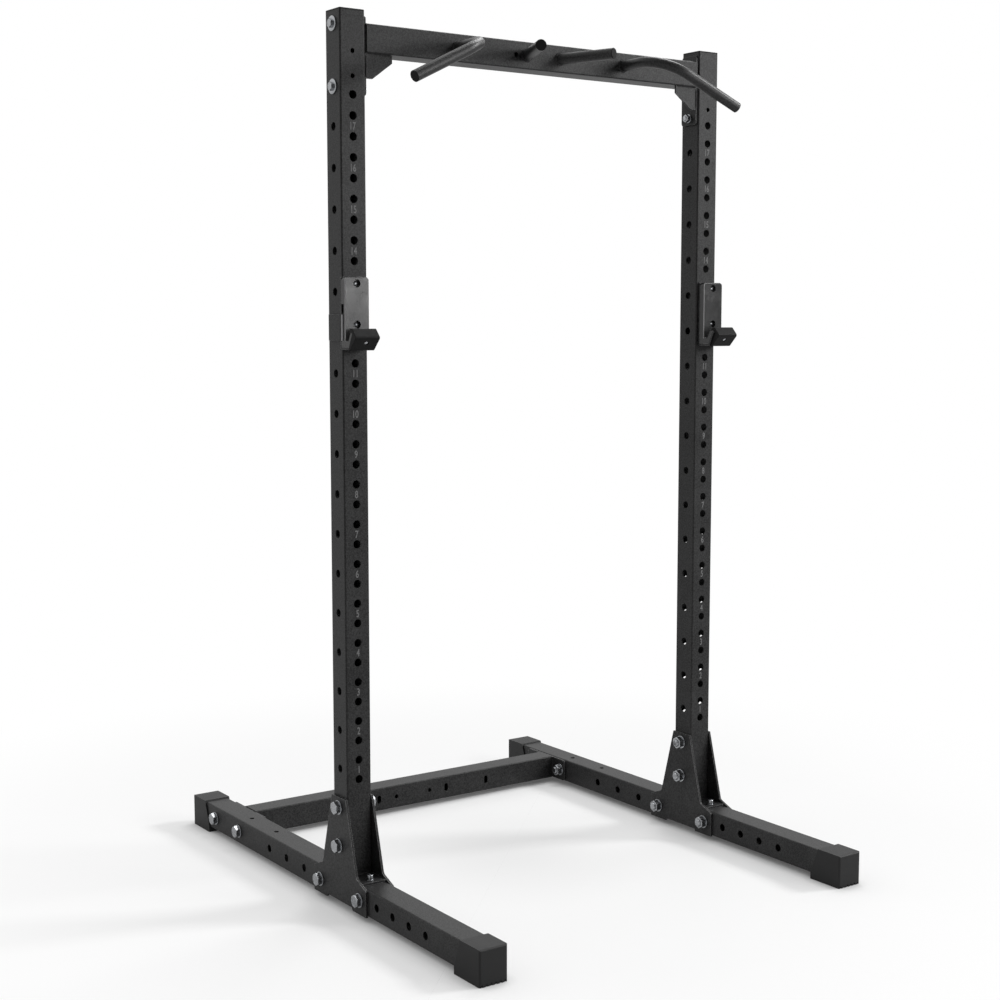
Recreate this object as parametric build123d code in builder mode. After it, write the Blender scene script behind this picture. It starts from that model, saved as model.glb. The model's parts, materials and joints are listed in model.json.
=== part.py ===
"""Two-upright rack with a rear crossmember, a pull-up beam with four grips and two roll-in bar hooks.

Millimetres. +X is the rack's right seen from the front, -Y is the front, +Z is up.
The origin is on the floor, in the middle between the feet and halfway along them.
"""
import os

from build123d import *

# overall layout
UPRIGHT_X = 575.0  # centre of each upright and foot from the middle of the rack
UPRIGHT_Y = -124.5  # centre of the uprights and of the pull-up beam
FLOOR_GAP = 15.0  # underside of the feet above the floor
FOOT_HALF = 750.0  # foot tube, half length
RACK_TOP = 2244.0  # top of the upright caps

# square tube
TUBE = 70.0
TUBE_WALL = 3.0
TUBE_R = 4.0

# hole rows
HOLE_D = 21.0  # holes for the large bolts and for the hook pegs
FRONT_PITCH = 50.0
FRONT_RISE = 75.0  # lowest large front hole above the upper gusset bolt
FRONT_FREE = 204.0  # no large front hole closer than this to the top of the rack
SIDE_PITCH = 100.0  # the two lowest side holes take the gusset bolts
SIDE_FREE = 279.0
SMALL_D = 12.0
SMALL_DROP = (100.0, 160.0)  # below the top of the rack
FOOT_HOLES = (-400.0, -325.0, -250.0, -175.0, 200.0, 300.0, 400.0)  # free holes, from the upright
FOOT_TOP_HOLES = (-240.0, -90.0)  # from the middle of the crossmember
FOOT_TOP_D = 14.0

# upright base plate and top cap
BASE_T = 6.0
BASE_W = 69.0
BASE_L = 210.0
BASE_BOLT_Y = 84.0
BASE_R = 5.0
CAP_T = 4.0
CAP_EDGE = 1.0
CAP_PLUG = 18.0
CAP_PLUG_WALL = 3.75
PLUG_FIT = 0.25

# gusset plates
GUSSET_T = 6.0
GUSSET_BOLT_UP = 80.0  # lower upright bolt above the top of the foot
GUSSET_BOLT_Y = 100.0  # foot bolts from the upright's centre line
GUSSET_TOP_UP = 27.0  # plate above the upper upright bolt
GUSSET_TOP_HALF = 35.0
GUSSET_WAIST_UP = 15.0  # above the top of the foot
GUSSET_WAIST_HALF = 86.0
GUSSET_WAIST_R = 12.0
GUSSET_SHOULDER_DOWN = 4.0  # below the top of the foot
GUSSET_SHOULDER_R = 4.0
GUSSET_HALF = 133.0
GUSSET_UNDER = 2.0  # ears below the underside of the foot
GUSSET_MID_UP = 5.5  # lower edge between the ears above the underside of the foot
GUSSET_EAR_IN = 62.0  # inner edge of each ear from the upright's centre line
GUSSET_EAR_SLANT = 4.0

# foot end caps
SHOE_W = 78.0
SHOE_H = 88.5
SHOE_END = 7.0
SHOE_TOP_L = 79.0
SHOE_SOLE_L = 105.0
SHOE_SOLE_H = 20.0
SHOE_FIT = 0.2
SHOE_R = 5.0
TREAD_N = 6
TREAD_W = 5.0
TREAD_D = 3.0
TREAD_H = 6.0

# crossmember
CROSS_FROM_END = 210.0  # centre line from the end of the foot tube
FLANGE_T = 6.0
CROSS_FLANGE_L = 200.0
CROSS_FLANGE_H = 66.0
CROSS_FLANGE_R = 10.0
CROSS_BOLT_Y = 75.0
CROSS_ROUND_X = 60.0
CROSS_ROUND_D = 12.5
CROSS_SLOT_X = (121.0, 271.0)
CROSS_SLOT_W = 13.0
CROSS_SLOT_H = 24.5

# pull-up beam
BEAM_DROP = 66.0  # centre line below the top of the rack
BEAM_FLANGE_W = 60.0
BEAM_FLANGE_DOWN = 137.0
BEAM_FLANGE_UP = 53.0
BEAM_FLANGE_R = 8.0
BEAM_BOLT_DOWN = 118.0  # through bolt below the beam's centre line
BEAM_TOP_BOLT_UP = 31.5  # screwed into the tapped flange behind the beam's end
TAPPED_FIT = 0.1
BEAM_VENT_X = 88.5
BEAM_VENT_D = 12.0
WEB_T = 6.0
WEB_L = 74.0  # along the beam
WEB_DROP = 61.0  # below the beam
WEB_LIP = 20.0
WEB_FOOT = 18.0

# grips, from each root on the front of the beam: outward, forward, up
GRIP_D = 28.5
GRIP_WALL = 2.5
GRIP_PLUG_T = 2.0
GRIP_PLUG_L = 12.0
GRIP_PLUG_EDGE = 0.8
WIDE_X = 267.0
WIDE_BEND = (8.0, 155.5, 3.0)
WIDE_END = (247.5, 184.5, -111.5)
WIDE_R = 100.0
NARROW_X = 54.0
NARROW_END = (63.0, 147.5, 2.0)

# large fasteners
BOLT_D = 20.0
BOLT_AF = 30.0
BOLT_HEAD = 12.5
WASHER_D = 37.0
WASHER_T = 3.0
NUT_H = 16.0
BOLT_OUT = 5.0  # thread past the nut
NUT_FIT = 0.1

# beam fasteners, with the large washer under each head
SMALL_BOLT_D = 12.0
SMALL_HOLE_D = 13.0
SMALL_AF = 19.0
SMALL_HEAD = 7.5
SMALL_WASHER_D = 24.0
SMALL_WASHER_T = 2.5
SMALL_NUT_H = 10.8
SMALL_BOLT_OUT = 2.0

# base plate bolts, with a socket in a round head
BASE_HEAD_D = 18.0
BASE_HEAD = 12.0
BASE_HEAD_R = 1.5
BASE_SOCKET_AF = 10.0
BASE_SOCKET = 6.0

# bar hooks: across counts outward from the upright's centre line, forward from its front face
HOOK_HOLE = 25  # the pegs sit in this front hole, counted from the lowest
HOOK_GAP = 0.5  # steel to upright
HOOK_T = 6.0
HOOK_BEND_R = 8.0  # outer radius of the bends
HOOK_IN = 27.0  # inner edge, inward of the upright's centre line
HOOK_ABOVE = 11.0  # above the peg's centre
HOOK_BELOW = 166.0
HOOK_PEG_D = 20.0
HOOK_PEG_L = 34.0
HOOK_PEG_EDGE = 2.0
WING_HIGH = 80.0  # top of the wing below the peg's centre
WING_LOW = 144.0
WING_REACH = 57.5  # back along the upright's side
WING_RELIEF = 3.0  # notch above and below the wing's bend
CRADLE = 43.5  # forward end of the steel floor, where the lip rises
LIP_TOP = 60.5
LIP_RISE = 42.0  # steel lip above the hook's bottom
LINER_FRONT = 24.0
LINER_FLOOR = 39.5
LINER_FLOOR_UP = 21.0  # above the hook's bottom
LINER_LIP = 51.1
LINER_R = 9.0
LINER_EDGE = 2.0
LINER_POCKET_R = 1.5
LINER_REBATE = 11.0  # behind the liner's outer front edge, clear of the wing's bend
LINER_REBATE_UP = 25.0  # above the wing
LIP_CAP_SIDE = 5.0  # past the outer edge of the steel
LIP_CAP_IN = 22.5  # inner edge, inward of the upright's centre line
LIP_CAP_OVER = 9.5  # above the steel lip
LIP_CAP_BACK = 56.3
LIP_CAP_FRONT = 64.5
LIP_CAP_KNEE = 84.7
LIP_CAP_KNEE_UP = 29.5  # above the hook's bottom
LIP_CAP_LOW = 53.5
LIP_CAP_UNDER = 2.5  # below the hook's bottom
LIP_CAP_R = 6.0
LIP_CAP_EDGE = 1.0
SCREW_DROP = (16.0, 116.0)  # below the hook's top
SCREW_D = 8.0
SCREW_HEAD_D = 12.0
SCREW_HEAD_H = 4.0
SCREW_SINK_D = 20.0
SCREW_SINK = 8.0
SCREW_FIT = 0.1
SOCKET_AF = 6.0
SOCKET_DEPTH = 2.2
LIP_SCREW_D = 6.0
LIP_SCREW_HEAD_D = 10.0
LIP_SCREW_HEAD_H = 2.4
LIP_SCREW_L = 16.5
LIP_SCREW_ROOM = 1.5  # around the head
LIP_SCREW_UP = 3.0  # from the middle of the front facet toward the knee

# worked-out places
FOOT_Z = FLOOR_GAP + TUBE / 2
FOOT_TOP = FLOOR_GAP + TUBE
UPRIGHT_Z0 = FOOT_TOP + BASE_T
UPRIGHT_Z1 = RACK_TOP - CAP_T
FRONT_Y = UPRIGHT_Y - TUBE / 2
CROSS_Y = FOOT_HALF - CROSS_FROM_END
BEAM_Z = RACK_TOP - BEAM_DROP
BEAM_BOLT_Z = BEAM_Z - BEAM_BOLT_DOWN
BEAM_TOP_BOLT_Z = BEAM_Z + BEAM_TOP_BOLT_UP
GUSSET_LOW_Z = FOOT_TOP + GUSSET_BOLT_UP
GUSSET_HIGH_Z = GUSSET_LOW_Z + SIDE_PITCH
INNER_X = UPRIGHT_X - TUBE / 2
OUTER_X = UPRIGHT_X + TUBE / 2
FLANGE_X = INNER_X - FLANGE_T
BORE = TUBE - 2 * TUBE_WALL
BORE_R = max(TUBE_R - TUBE_WALL, 1.0)
PLUG_W = BORE - 2 * PLUG_FIT
PLUG_IN = PLUG_W - 2 * CAP_PLUG_WALL
SIDES = (("left", -1), ("right", 1))
ACROSS = (0, 90, 0)  # turns a cylinder onto X
ALONG = (90, 0, 0)  # turns a cylinder onto Y
THROUGH = 2 * TUBE  # cutting length through a tube

os.makedirs("parts", exist_ok=True)


# uprights with their base plates and caps
FRONT_LOW_Z = GUSSET_HIGH_Z + FRONT_RISE
front_count = int((RACK_TOP - FRONT_FREE - FRONT_LOW_Z) // FRONT_PITCH) + 1
side_count = int((RACK_TOP - SIDE_FREE - GUSSET_LOW_Z) // SIDE_PITCH) + 1
front_zs = [FRONT_LOW_Z + FRONT_PITCH * i for i in range(front_count)]
side_zs = [GUSSET_LOW_Z + SIDE_PITCH * i for i in range(side_count)]
small_zs = [RACK_TOP - drop for drop in SMALL_DROP]
for side, s in SIDES:
    with BuildPart() as upright:
        with BuildSketch(Plane.XY.offset(UPRIGHT_Z0)):
            with Locations((s * UPRIGHT_X, UPRIGHT_Y)):
                RectangleRounded(TUBE, TUBE, TUBE_R)
                RectangleRounded(BORE, BORE, BORE_R, mode=Mode.SUBTRACT)
        extrude(amount=UPRIGHT_Z1 - UPRIGHT_Z0)
        with Locations(*[(s * UPRIGHT_X, UPRIGHT_Y, z) for z in front_zs]):
            Cylinder(HOLE_D / 2, THROUGH, rotation=ALONG, mode=Mode.SUBTRACT)
        with Locations(*[(s * UPRIGHT_X, UPRIGHT_Y, z) for z in small_zs]):
            Cylinder(SMALL_D / 2, THROUGH, rotation=ALONG, mode=Mode.SUBTRACT)
        with Locations(*[(s * UPRIGHT_X, UPRIGHT_Y, z) for z in side_zs]):
            Cylinder(HOLE_D / 2, THROUGH, rotation=ACROSS, mode=Mode.SUBTRACT)
        with Locations(*[(s * UPRIGHT_X, UPRIGHT_Y, z) for z in (BEAM_BOLT_Z, BEAM_TOP_BOLT_Z)]):
            Cylinder(SMALL_HOLE_D / 2, THROUGH, rotation=ACROSS, mode=Mode.SUBTRACT)
    upright.part.label = f"{side}_upright"
    export_step(upright.part, f"parts/{side}_upright.step")

    with BuildPart() as upright_cap:
        with BuildSketch(Plane.XY.offset(UPRIGHT_Z1)):
            with Locations((s * UPRIGHT_X, UPRIGHT_Y)):
                RectangleRounded(TUBE, TUBE, TUBE_R)
        extrude(amount=CAP_T)
        chamfer(upright_cap.faces().sort_by(Axis.Z)[-1].edges(), CAP_EDGE)
        with BuildSketch(Plane.XY.offset(UPRIGHT_Z1)):
            with Locations((s * UPRIGHT_X, UPRIGHT_Y)):
                RectangleRounded(PLUG_W, PLUG_W, BORE_R)
                RectangleRounded(PLUG_IN, PLUG_IN, BORE_R, mode=Mode.SUBTRACT)
        extrude(amount=-CAP_PLUG)
    upright_cap.part.label = f"{side}_upright_cap"
    export_step(upright_cap.part, f"parts/{side}_upright_cap.step")

    with BuildPart() as base_plate:
        with BuildSketch(Plane.XY.offset(FOOT_TOP)):
            with Locations((s * UPRIGHT_X, UPRIGHT_Y)):
                RectangleRounded(BASE_W, BASE_L, BASE_R)
            with Locations(*[(s * UPRIGHT_X, UPRIGHT_Y + e * BASE_BOLT_Y) for e in (-1, 1)]):
                Circle(SMALL_HOLE_D / 2, mode=Mode.SUBTRACT)
        extrude(amount=BASE_T)
    base_plate.part.label = f"{side}_base_plate"
    export_step(base_plate.part, f"parts/{side}_base_plate.step")


# feet and their end caps
gusset_ys = (-GUSSET_BOLT_Y, GUSSET_BOLT_Y)
for side, s in SIDES:
    with BuildPart() as foot:
        with BuildSketch(Plane.XZ.offset(-FOOT_HALF)):
            with Locations((s * UPRIGHT_X, FOOT_Z)):
                RectangleRounded(TUBE, TUBE, TUBE_R)
                RectangleRounded(BORE, BORE, BORE_R, mode=Mode.SUBTRACT)
        extrude(amount=2 * FOOT_HALF)
        with Locations(*[(s * UPRIGHT_X, UPRIGHT_Y + y, FOOT_Z) for y in FOOT_HOLES + gusset_ys]):
            Cylinder(HOLE_D / 2, THROUGH, rotation=ACROSS, mode=Mode.SUBTRACT)
        with Locations(*[(s * UPRIGHT_X, CROSS_Y + e * CROSS_BOLT_Y, FOOT_Z) for e in (-1, 1)]):
            Cylinder(HOLE_D / 2, THROUGH, rotation=ACROSS, mode=Mode.SUBTRACT)
        with Locations(*[(s * UPRIGHT_X, CROSS_Y + y, FOOT_TOP) for y in FOOT_TOP_HOLES]):
            Cylinder(FOOT_TOP_D / 2, 4 * TUBE_WALL, mode=Mode.SUBTRACT)
        with Locations(*[(s * UPRIGHT_X, UPRIGHT_Y + e * BASE_BOLT_Y, FOOT_TOP) for e in (-1, 1)]):
            Cylinder(SMALL_HOLE_D / 2, 4 * TUBE_WALL, mode=Mode.SUBTRACT)
    foot.part.label = f"{side}_foot"
    export_step(foot.part, f"parts/{side}_foot.step")

    for end, e in (("front", -1), ("rear", 1)):
        tip = e * (FOOT_HALF + SHOE_END)
        with BuildPart() as shoe:
            with BuildSketch(Plane.YZ.offset(s * UPRIGHT_X - SHOE_W / 2)):
                Polygon(
                    (tip, 0),
                    (tip, SHOE_H),
                    (tip - e * SHOE_TOP_L, SHOE_H),
                    (tip - e * SHOE_SOLE_L, SHOE_SOLE_H),
                    (tip - e * SHOE_SOLE_L, 0),
                    align=None,
                )
            extrude(amount=SHOE_W)
            rims = shoe.faces().sort_by(Axis.Y)[-1 if e > 0 else 0].edges()
            fillet(rims.filter_by(Axis.Z) + rims.sort_by(Axis.Z)[-1:], SHOE_R)
            with BuildSketch(Plane.XZ.offset(-e * FOOT_HALF)):
                with Locations((s * UPRIGHT_X, FOOT_Z + SHOE_FIT / 2)):
                    RectangleRounded(TUBE + 2 * SHOE_FIT, TUBE + SHOE_FIT, TUBE_R)
            extrude(amount=e * FOOT_HALF, mode=Mode.SUBTRACT)
            treads = [(i - (TREAD_N - 1) / 2) * SHOE_W / TREAD_N for i in range(TREAD_N)]
            with Locations(*[(s * UPRIGHT_X + x, tip, TREAD_H / 2) for x in treads]):
                Box(TREAD_W, 2 * TREAD_D, TREAD_H, mode=Mode.SUBTRACT)
        shoe.part.label = f"{side}_{end}_foot_cap"
        export_step(shoe.part, f"parts/{side}_{end}_foot_cap.step")


# gusset plates, one on each side of an upright's foot
waist_z = FOOT_TOP + GUSSET_WAIST_UP
shoulder_z = FOOT_TOP - GUSSET_SHOULDER_DOWN
ear_z = FLOOR_GAP - GUSSET_UNDER
gusset_half = (
    (GUSSET_TOP_HALF, GUSSET_HIGH_Z + GUSSET_TOP_UP),
    (GUSSET_WAIST_HALF, waist_z),
    (GUSSET_HALF, shoulder_z),
    (GUSSET_HALF, ear_z),
    (GUSSET_EAR_IN + GUSSET_EAR_SLANT, ear_z),
    (GUSSET_EAR_IN, FLOOR_GAP + GUSSET_MID_UP),
)
gusset_outline = [(UPRIGHT_Y - y, z) for y, z in gusset_half]
gusset_outline += [(UPRIGHT_Y + y, z) for y, z in reversed(gusset_half)]
gusset_bolts_yz = [(UPRIGHT_Y, z) for z in (GUSSET_HIGH_Z, GUSSET_LOW_Z)]
gusset_bolts_yz += [(UPRIGHT_Y + y, FOOT_Z) for y in gusset_ys]
for side, s in SIDES:
    for place, x0 in (("outer", s * (OUTER_X + GUSSET_T / 2)), ("inner", s * (INNER_X - GUSSET_T / 2))):
        with BuildPart() as gusset:
            with BuildSketch(Plane.YZ.offset(x0 - GUSSET_T / 2)):
                Polygon(*gusset_outline, align=None)
                with Locations(*gusset_bolts_yz):
                    Circle(HOLE_D / 2, mode=Mode.SUBTRACT)
            extrude(amount=GUSSET_T)
            corners = gusset.edges().filter_by(Axis.X)
            fillet(corners.filter_by_position(Axis.Z, waist_z - 1, waist_z + 1), GUSSET_WAIST_R)
            corners = gusset.edges().filter_by(Axis.X)
            fillet(corners.filter_by_position(Axis.Z, shoulder_z - 1, shoulder_z + 1), GUSSET_SHOULDER_R)
        gusset.part.label = f"{side}_{place}_gusset"
        export_step(gusset.part, f"parts/{side}_{place}_gusset.step")


# rear crossmember and its flanges
with BuildPart() as crossmember:
    with BuildSketch(Plane.YZ.offset(-FLANGE_X)):
        with Locations((CROSS_Y, FOOT_Z)):
            RectangleRounded(TUBE, TUBE, TUBE_R)
            RectangleRounded(BORE, BORE, BORE_R, mode=Mode.SUBTRACT)
    extrude(amount=2 * FLANGE_X)
    with BuildSketch(Plane.XZ.offset(-CROSS_Y)):
        with Locations((-CROSS_ROUND_X, FOOT_Z), (CROSS_ROUND_X, FOOT_Z)):
            Circle(CROSS_ROUND_D / 2)
        with Locations(*[(e * x, FOOT_Z) for e in (-1, 1) for x in CROSS_SLOT_X]):
            SlotOverall(CROSS_SLOT_H, CROSS_SLOT_W, rotation=90)
    extrude(amount=TUBE, mode=Mode.SUBTRACT)
crossmember.part.label = "crossmember"
export_step(crossmember.part, "parts/crossmember.step")

for side, s in SIDES:
    with BuildPart() as cross_flange:
        with BuildSketch(Plane.YZ.offset(s * (INNER_X + FLANGE_X) / 2 - FLANGE_T / 2)):
            with Locations((CROSS_Y, FOOT_Z)):
                RectangleRounded(CROSS_FLANGE_L, CROSS_FLANGE_H, CROSS_FLANGE_R)
            with Locations(*[(CROSS_Y + e * CROSS_BOLT_Y, FOOT_Z) for e in (-1, 1)]):
                Circle(HOLE_D / 2, mode=Mode.SUBTRACT)
        extrude(amount=FLANGE_T)
    cross_flange.part.label = f"{side}_crossmember_flange"
    export_step(cross_flange.part, f"parts/{side}_crossmember_flange.step")


# pull-up beam, its flanges and the web plates under it
with BuildPart() as beam:
    with BuildSketch(Plane.YZ.offset(-FLANGE_X)):
        with Locations((UPRIGHT_Y, BEAM_Z)):
            RectangleRounded(TUBE, TUBE, TUBE_R)
            RectangleRounded(BORE, BORE, BORE_R, mode=Mode.SUBTRACT)
    extrude(amount=2 * FLANGE_X)
    with Locations((-BEAM_VENT_X, FRONT_Y, BEAM_Z), (BEAM_VENT_X, FRONT_Y, BEAM_Z)):
        Cylinder(BEAM_VENT_D / 2, 4 * TUBE_WALL, rotation=ALONG, mode=Mode.SUBTRACT)
beam.part.label = "pullup_beam"
export_step(beam.part, "parts/pullup_beam.step")

web_y = UPRIGHT_Y - BEAM_FLANGE_W / 2
beam_low = BEAM_Z - TUBE / 2
for side, s in SIDES:
    with BuildPart() as beam_flange:
        with BuildSketch(Plane.YZ.offset(s * (INNER_X + FLANGE_X) / 2 - FLANGE_T / 2)):
            with Locations((UPRIGHT_Y, BEAM_Z + (BEAM_FLANGE_UP - BEAM_FLANGE_DOWN) / 2)):
                RectangleRounded(BEAM_FLANGE_W, BEAM_FLANGE_UP + BEAM_FLANGE_DOWN, BEAM_FLANGE_R)
            with Locations((UPRIGHT_Y, BEAM_BOLT_Z)):
                Circle(SMALL_HOLE_D / 2, mode=Mode.SUBTRACT)
            with Locations((UPRIGHT_Y, BEAM_TOP_BOLT_Z)):
                Circle(SMALL_BOLT_D / 2 + TAPPED_FIT, mode=Mode.SUBTRACT)
        extrude(amount=FLANGE_T)
    beam_flange.part.label = f"{side}_beam_flange"
    export_step(beam_flange.part, f"parts/{side}_beam_flange.step")

    with BuildPart() as web:
        with BuildSketch(Plane.XZ.offset(-web_y - WEB_T)):
            Polygon(
                (s * FLANGE_X, beam_low),
                (s * (FLANGE_X - WEB_L), beam_low),
                (s * (FLANGE_X - WEB_L), beam_low - WEB_LIP),
                (s * (FLANGE_X - WEB_FOOT), beam_low - WEB_DROP),
                (s * FLANGE_X, beam_low - WEB_DROP),
                align=None,
            )
        extrude(amount=WEB_T)
    web.part.label = f"{side}_web_plate"
    export_step(web.part, f"parts/{side}_web_plate.step")


# grips, cut flush with the front of the beam, and their end plugs
for side, s in SIDES:
    wide_root = Vector(s * WIDE_X, FRONT_Y, BEAM_Z)
    wide_bend = wide_root + Vector(s * WIDE_BEND[0], -WIDE_BEND[1], WIDE_BEND[2])
    wide_end = wide_root + Vector(s * WIDE_END[0], -WIDE_END[1], WIDE_END[2])
    narrow_root = Vector(s * NARROW_X, FRONT_Y, BEAM_Z)
    narrow_end = narrow_root + Vector(s * NARROW_END[0], -NARROW_END[1], NARROW_END[2])
    wide_back = wide_root + (wide_root - wide_bend).normalized() * GRIP_D
    narrow_back = narrow_root + (narrow_root - narrow_end).normalized() * GRIP_D
    for grip_name, points, end in (
        ("wide", (wide_back, wide_bend, wide_end), wide_end),
        ("narrow", (narrow_back, narrow_end), narrow_end),
    ):
        run = (end - points[-2]).normalized()
        stop = end - run * GRIP_PLUG_T
        with BuildPart() as grip:
            with BuildLine() as path:
                if len(points) == 3:
                    FilletPolyline(points[0], points[1], stop, radius=WIDE_R)
                else:
                    Line(points[0], stop)
            with BuildSketch(Plane(path.line @ 0, z_dir=path.line % 0)):
                Circle(GRIP_D / 2)
                Circle(GRIP_D / 2 - GRIP_WALL, mode=Mode.SUBTRACT)
            sweep()
            split(bisect_by=Plane.XZ.offset(-FRONT_Y), keep=Keep.TOP)
        grip.part.label = f"{side}_{grip_name}_grip"
        export_step(grip.part, f"parts/{side}_{grip_name}_grip.step")

        with BuildPart() as plug:
            with BuildSketch(Plane(stop, z_dir=run)):
                Circle(GRIP_D / 2)
            extrude(amount=GRIP_PLUG_T)
            chamfer(plug.faces().sort_by(lambda f: f.center().dot(run))[-1].edges(), GRIP_PLUG_EDGE)
            with BuildSketch(Plane(stop, z_dir=run)):
                Circle(GRIP_D / 2 - GRIP_WALL - PLUG_FIT)
            extrude(amount=-GRIP_PLUG_L)
        plug.part.label = f"{side}_{grip_name}_grip_plug"
        export_step(plug.part, f"parts/{side}_{grip_name}_grip_plug.step")


# through bolts: heads on the outer sides, nuts on the inner sides
large = (BOLT_D, BOLT_AF, BOLT_HEAD, HOLE_D, WASHER_D, WASHER_T, NUT_H, BOLT_OUT)
small = (SMALL_BOLT_D, SMALL_AF, SMALL_HEAD, SMALL_HOLE_D)
small += (SMALL_WASHER_D, SMALL_WASHER_T, SMALL_NUT_H, SMALL_BOLT_OUT)
bolt_sets = (
    ("gusset", gusset_bolts_yz, OUTER_X + GUSSET_T, INNER_X - GUSSET_T, large),
    ("crossmember", [(CROSS_Y + e * CROSS_BOLT_Y, FOOT_Z) for e in (-1, 1)], OUTER_X, FLANGE_X, large),
    ("beam", [(UPRIGHT_Y, BEAM_BOLT_Z)], OUTER_X, FLANGE_X, small),
)
for set_name, places, out_x, in_x, sizes in bolt_sets:
    bolt_d, flats, head_h, hole_d, inner_d, inner_t, nut_h, past = sizes
    head_x = out_x + WASHER_T
    nut_x = in_x - inner_t
    end_x = nut_x - nut_h - past
    with BuildPart() as bolts:
        for s in (-1, 1):
            with BuildSketch(Plane.YZ.offset(s * head_x)):
                with Locations(*places):
                    RegularPolygon(flats / 2, 6, major_radius=False, rotation=30)
            extrude(amount=s * head_h)
            with BuildSketch(Plane.YZ.offset(s * end_x)):
                with Locations(*places):
                    Circle(bolt_d / 2)
            extrude(amount=s * (head_x - end_x))
    bolts.part.label = f"{set_name}_bolts"
    export_step(bolts.part, f"parts/{set_name}_bolts.step")

    with BuildPart() as washers:
        for s in (-1, 1):
            for x, washer_d, washer_t in ((out_x, WASHER_D, WASHER_T), (nut_x, inner_d, inner_t)):
                with BuildSketch(Plane.YZ.offset(s * x)):
                    with Locations(*places):
                        Circle(washer_d / 2)
                        Circle(hole_d / 2, mode=Mode.SUBTRACT)
                extrude(amount=s * washer_t)
    washers.part.label = f"{set_name}_washers"
    export_step(washers.part, f"parts/{set_name}_washers.step")

    with BuildPart() as nuts:
        for s in (-1, 1):
            with BuildSketch(Plane.YZ.offset(s * nut_x)):
                with Locations(*places):
                    RegularPolygon(flats / 2, 6, major_radius=False, rotation=30)
                    Circle(bolt_d / 2 + NUT_FIT, mode=Mode.SUBTRACT)
            extrude(amount=-s * nut_h)
    nuts.part.label = f"{set_name}_nuts"
    export_step(nuts.part, f"parts/{set_name}_nuts.step")

top_spot = (UPRIGHT_Y, BEAM_TOP_BOLT_Z)
with BuildPart() as beam_top_bolts:
    for s in (-1, 1):
        with BuildSketch(Plane.YZ.offset(s * (OUTER_X + WASHER_T))):
            with Locations(top_spot):
                RegularPolygon(SMALL_AF / 2, 6, major_radius=False, rotation=30)
        extrude(amount=s * SMALL_HEAD)
        with BuildSketch(Plane.YZ.offset(s * FLANGE_X)):
            with Locations(top_spot):
                Circle(SMALL_BOLT_D / 2)
        extrude(amount=s * (OUTER_X + WASHER_T - FLANGE_X))
beam_top_bolts.part.label = "beam_top_bolts"
export_step(beam_top_bolts.part, "parts/beam_top_bolts.step")

with BuildPart() as beam_top_washers:
    for s in (-1, 1):
        with BuildSketch(Plane.YZ.offset(s * OUTER_X)):
            with Locations(top_spot):
                Circle(WASHER_D / 2)
                Circle(SMALL_HOLE_D / 2, mode=Mode.SUBTRACT)
        extrude(amount=s * WASHER_T)
beam_top_washers.part.label = "beam_top_washers"
export_step(beam_top_washers.part, "parts/beam_top_washers.step")


# base plate bolts, vertical, into nuts welded under the top wall of the foot
base_spots = [(s * UPRIGHT_X, UPRIGHT_Y + e * BASE_BOLT_Y) for s in (-1, 1) for e in (-1, 1)]
base_top = FOOT_TOP + BASE_T
base_under = FOOT_TOP - TUBE_WALL
with BuildPart() as base_bolts:
    with BuildSketch(Plane.XY.offset(base_top + SMALL_WASHER_T)):
        with Locations(*base_spots):
            Circle(BASE_HEAD_D / 2)
    extrude(amount=BASE_HEAD)
    fillet(base_bolts.edges().group_by(Axis.Z)[-1], BASE_HEAD_R)
    with BuildSketch(Plane.XY.offset(base_top + SMALL_WASHER_T + BASE_HEAD)):
        with Locations(*base_spots):
            RegularPolygon(BASE_SOCKET_AF / 2, 6, major_radius=False)
    extrude(amount=-BASE_SOCKET, mode=Mode.SUBTRACT)
    with BuildSketch(Plane.XY.offset(base_under - SMALL_NUT_H - SMALL_BOLT_OUT)):
        with Locations(*base_spots):
            Circle(SMALL_BOLT_D / 2)
    extrude(amount=base_top + SMALL_WASHER_T - base_under + SMALL_NUT_H + SMALL_BOLT_OUT)
base_bolts.part.label = "base_bolts"
export_step(base_bolts.part, "parts/base_bolts.step")

with BuildPart() as base_washers:
    with BuildSketch(Plane.XY.offset(base_top)):
        with Locations(*base_spots):
            Circle(SMALL_WASHER_D / 2)
            Circle(SMALL_HOLE_D / 2, mode=Mode.SUBTRACT)
    extrude(amount=SMALL_WASHER_T)
base_washers.part.label = "base_washers"
export_step(base_washers.part, "parts/base_washers.step")

with BuildPart() as base_nuts:
    with BuildSketch(Plane.XY.offset(base_under)):
        with Locations(*base_spots):
            RegularPolygon(SMALL_AF / 2, 6, major_radius=False)
            Circle(SMALL_BOLT_D / 2 + NUT_FIT, mode=Mode.SUBTRACT)
    extrude(amount=-SMALL_NUT_H)
base_nuts.part.label = "base_nuts"
export_step(base_nuts.part, "parts/base_nuts.step")


# bar hooks: each rolls about a peg in a front hole, its wing stops on the outer side of the upright
peg_z = front_zs[HOOK_HOLE]
hook_top = peg_z + HOOK_ABOVE
hook_low = peg_z - HOOK_BELOW
back_y = FRONT_Y - HOOK_GAP
face_y = back_y - HOOK_T
liner_y = FRONT_Y - LINER_FRONT
hook_out = TUBE / 2 + HOOK_GAP + HOOK_T
cap_out = hook_out + LIP_CAP_SIDE
floor_z = hook_low + HOOK_T
lip_root = Vector(0, FRONT_Y - CRADLE, floor_z)
lip_top = Vector(0, FRONT_Y - LIP_TOP, hook_low + LIP_RISE)
lip_run = (lip_top - lip_root).normalized()
lip_tip = lip_top + Vector(0, -lip_run.Z, lip_run.Y) * HOOK_T
heel_y = lip_tip.Y - lip_run.Y * (lip_tip.Z - hook_low) / lip_run.Z
knee = Vector(0, FRONT_Y - LIP_CAP_KNEE, hook_low + LIP_CAP_KNEE_UP)
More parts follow.
